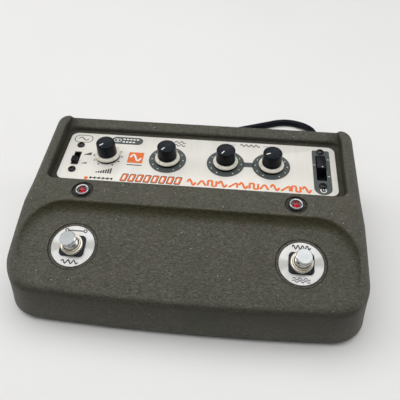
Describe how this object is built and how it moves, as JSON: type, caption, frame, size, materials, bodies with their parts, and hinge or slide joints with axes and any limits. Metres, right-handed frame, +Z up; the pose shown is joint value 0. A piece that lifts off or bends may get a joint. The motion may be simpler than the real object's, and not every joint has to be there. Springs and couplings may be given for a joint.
{
  "type": "guitar effects pedal",
  "caption": "Floor-standing guitar effects pedal with a sloping foot area, stomp switches, a recessed control panel with knobs, rear jack sockets and a captive mains cord.",
  "frame": {"origin": "centre of the pedal's own bounding box in plan (without the mains cord), on the surface that its rubber feet stand on", "axes": "+X to the player's right, +Y towards the rear with the jacks and the cord, +Z up"},
  "size_m": [0.2508, 0.2586, 0.0726],
  "materials": {
    "wrinkle_paint": "olive-grey wrinkle enamel",
    "base_steel": "semi-gloss black enamel",
    "foot_rubber": "matte",
    "zinc_screw": "zinc plated",
    "panel_metal": "fine brushed, warm silver, printed",
    "knob_black": "satin black",
    "skirt_cream": "cream",
    "shaft_steel": "turned",
    "pot_can": "pressed",
    "switch_black": "satin black",
    "screw_black": "black oxide",
    "lens_red": "clear red",
    "nickel_plate": "nickel plated",
    "label_plate": "brushed",
    "dark_washer": "dark grey",
    "button_chrome": "polished",
    "board_phenolic": "matte",
    "transformer_iron": "varnished",
    "cord_rubber": "satin black",
    "plug_black": "satin black"
  },
  "bodies": {
    "pedal": {"top_case": "wrinkle_paint", "base_plate": "base_steel", "control_panel": "panel_metal", "foot_front_left": "foot_rubber", "foot_screw_front_left": "zinc_screw", "foot_rear_left": "foot_rubber", "foot_screw_rear_left": "zinc_screw", "foot_front_right": "foot_rubber", "foot_screw_front_right": "zinc_screw", "foot_rear_right": "foot_rubber", "foot_screw_rear_right": "zinc_screw", "level_potentiometer": "pot_can", "intensity_potentiometer": "pot_can", "depth_potentiometer": "pot_can", "rate_potentiometer": "pot_can", "input_level_switch_body": "switch_black", "input_level_switch_screw_1": "screw_black", "input_level_switch_screw_2": "screw_black", "power_switch_body": "switch_black", "power_switch_screw_1": "screw_black", "power_switch_screw_2": "screw_black", "lamp_bezel_left": "nickel_plate", "lamp_lens_left": "lens_red", "stomp_label_plate_left": "label_plate", "stomp_washer_left": "dark_washer", "stomp_nut_left": "nickel_plate", "stomp_switch_left": "nickel_plate", "lamp_bezel_right": "nickel_plate", "lamp_lens_right": "lens_red", "stomp_label_plate_right": "label_plate", "stomp_washer_right": "dark_washer", "stomp_nut_right": "nickel_plate", "stomp_switch_right": "nickel_plate", "circuit_board": "board_phenolic", "transformer": "transformer_iron", "input_jack": "nickel_plate", "output_mono_jack": "nickel_plate", "output_stereo_jack": "nickel_plate", "cord_strain_relief": "cord_rubber", "mains_cord": "cord_rubber", "mains_cord_hank": "cord_rubber", "mains_cord_tail": "cord_rubber", "mains_plug": "plug_black"},
    "level_knob": {"level_knob_cap": "knob_black", "level_knob_skirt": "skirt_cream", "level_shaft": "shaft_steel"},
    "intensity_knob": {"intensity_knob_cap": "knob_black", "intensity_knob_skirt": "skirt_cream", "intensity_shaft": "shaft_steel"},
    "depth_knob": {"depth_knob_cap": "knob_black", "depth_knob_skirt": "skirt_cream", "depth_shaft": "shaft_steel"},
    "rate_knob": {"rate_knob_cap": "knob_black", "rate_knob_skirt": "skirt_cream", "rate_shaft": "shaft_steel"},
    "input_level_lever": {"input_level_switch_lever": "switch_black"},
    "power_lever": {"power_switch_lever": "switch_black"},
    "stomp_left": {"stomp_button_left": "button_chrome"},
    "stomp_right": {"stomp_button_right": "button_chrome"}
  },
  "joints": [
    {"name": "level_turn", "type": "hinge", "parent": "pedal", "child": "level_knob", "pos_m": [-0.0699, 0.03766, 0.05799], "axis": [0, -0.0833, 0.9965], "range_deg": [-287, 13]},
    {"name": "intensity_turn", "type": "hinge", "parent": "pedal", "child": "intensity_knob", "pos_m": [-0.0234, 0.03766, 0.05799], "axis": [0, -0.0833, 0.9965], "range_deg": [-294, 6]},
    {"name": "depth_turn", "type": "hinge", "parent": "pedal", "child": "depth_knob", "pos_m": [0.0211, 0.03766, 0.05799], "axis": [0, -0.0833, 0.9965], "range_deg": [-296, 4]},
    {"name": "rate_turn", "type": "hinge", "parent": "pedal", "child": "rate_knob", "pos_m": [0.0556, 0.03766, 0.05799], "axis": [0, -0.0833, 0.9965], "range_deg": [-265, 35]},
    {"name": "input_level_slide", "type": "slide", "parent": "pedal", "child": "input_level_lever", "axis": [0, 0.9965, 0.0833], "range_m": [0, 0.0066]},
    {"name": "power_slide", "type": "slide", "parent": "pedal", "child": "power_lever", "axis": [0, -0.9965, -0.0833], "range_m": [0, 0.0108]},
    {"name": "stomp_press_left", "type": "slide", "parent": "pedal", "child": "stomp_left", "axis": [0, 0.3223, -0.9466], "range_m": [0, 0.0035], "stiffness_N_per_m": 4000},
    {"name": "stomp_press_right", "type": "slide", "parent": "pedal", "child": "stomp_right", "axis": [0, 0.3223, -0.9466], "range_m": [0, 0.0035], "stiffness_N_per_m": 4000}
  ]
}
